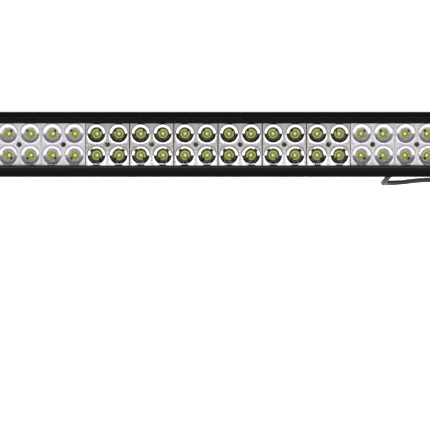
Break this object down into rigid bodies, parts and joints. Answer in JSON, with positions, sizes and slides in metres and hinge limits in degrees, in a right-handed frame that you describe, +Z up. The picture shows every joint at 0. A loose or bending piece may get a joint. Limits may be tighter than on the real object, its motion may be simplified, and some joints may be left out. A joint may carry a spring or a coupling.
{
  "type": "led light bar",
  "caption": "Straight LED light bar for vehicles: finned black housing, clear window over mirror cups, tilting end brackets and a rear power lead.",
  "frame": {"origin": "on the mounting surface, midway between the two feet and under the middle of the bar's depth", "axes": "+X along the bar, +Z up from the mounting surface, the light leaves towards -Y"},
  "size_m": [0.656, 0.179, 0.091],
  "materials": {
    "black_aluminium": "black satin powder coat over extruded aluminium",
    "black_cast": "black satin powder coat over die-cast aluminium",
    "black_trim": "black anodised aluminium",
    "black_rubber": "moulded silicone rubber",
    "clear_lens": "clear polycarbonate",
    "clear_silicone": "dark silicone",
    "reflector_metallised": "vacuum-metallised plastic",
    "dark_screws": "dark phosphated steel",
    "steel_screws": "zinc-plated steel",
    "led_white": "white ceramic package",
    "phosphor": "yellow-green phosphor",
    "dome_silicone": "clear silicone dome",
    "board_white": "aluminium-core board with white solder mask",
    "thermal_pad": "grey thermal pad",
    "dark_component": "moulded epoxy",
    "capacitor_can": "drawn can",
    "connector_white": "moulded nylon",
    "black_nylon": "moulded nylon",
    "cord_rubber": "smooth black jacket",
    "lead_red": "insulated wire",
    "lead_black": "insulated wire",
    "connector_shell": "moulded nylon",
    "connector_wedge": "moulded nylon",
    "connector_gasket": "silicone seal",
    "plated_contact": "plated",
    "stainless": "stainless steel",
    "bracket_steel": "black powder coat over pressed steel"
  },
  "bodies": {
    "lamp": {"board_links": "connector_white", "board_screws": "steel_screws", "breather_vent": "black_nylon", "connector_body": "connector_shell", "connector_contacts": "plated_contact", "connector_lock": "connector_wedge", "connector_seal": "connector_gasket", "driver_capacitors": "capacitor_can", "driver_chips": "dark_component", "driver_inductors": "dark_component", "end_cap_left": "black_cast", "end_cap_right": "black_cast", "end_cap_screws_left": "stainless", "end_cap_screws_right": "stainless", "end_gasket_left": "black_rubber", "end_gasket_right": "black_rubber", "gland_body": "black_nylon", "gland_nut": "black_nylon", "gland_seal": "black_rubber", "gland_seal_ring": "black_rubber", "housing": "black_aluminium", "lead_negative": "lead_black", "lead_positive": "lead_red", "led_board_1": "board_white", "led_board_2": "board_white", "led_board_3": "board_white", "led_board_4": "board_white", "led_board_5": "board_white", "led_domes": "dome_silicone", "led_packages": "led_white", "led_phosphors": "phosphor", "lens": "clear_lens", "lens_gasket": "clear_silicone", "lens_retainer_bottom": "black_trim", "lens_retainer_top": "black_trim", "lock_bolts": "stainless", "lock_spring_washers": "stainless", "lock_washers": "stainless", "pivot_bolts": "stainless", "pivot_spring_washers": "stainless", "pivot_washers": "stainless", "power_cord": "cord_rubber", "reflector_flood_1": "reflector_metallised", "reflector_flood_2": "reflector_metallised", "reflector_flood_3": "reflector_metallised", "reflector_flood_4": "reflector_metallised", "reflector_screws": "dark_screws", "reflector_spot_1": "reflector_metallised", "reflector_spot_2": "reflector_metallised", "reflector_spot_3": "reflector_metallised", "reflector_spot_4": "reflector_metallised", "reflector_spot_5": "reflector_metallised", "reflector_spot_6": "reflector_metallised", "thermal_pads": "thermal_pad"},
    "bracket_left": {"bracket_left": "bracket_steel"},
    "bracket_right": {"bracket_right": "bracket_steel"}
  },
  "joints": [
    {"name": "tilt_left", "type": "hinge", "parent": "lamp", "child": "bracket_left", "pos_m": [-0.286, -0.00985, 0.0515], "axis": [1, 0, 0], "range_deg": [-45, 45]},
    {"name": "tilt_right", "type": "hinge", "parent": "lamp", "child": "bracket_right", "pos_m": [0.286, -0.00985, 0.0515], "axis": [1, 0, 0], "range_deg": [-45, 45]}
  ]
}
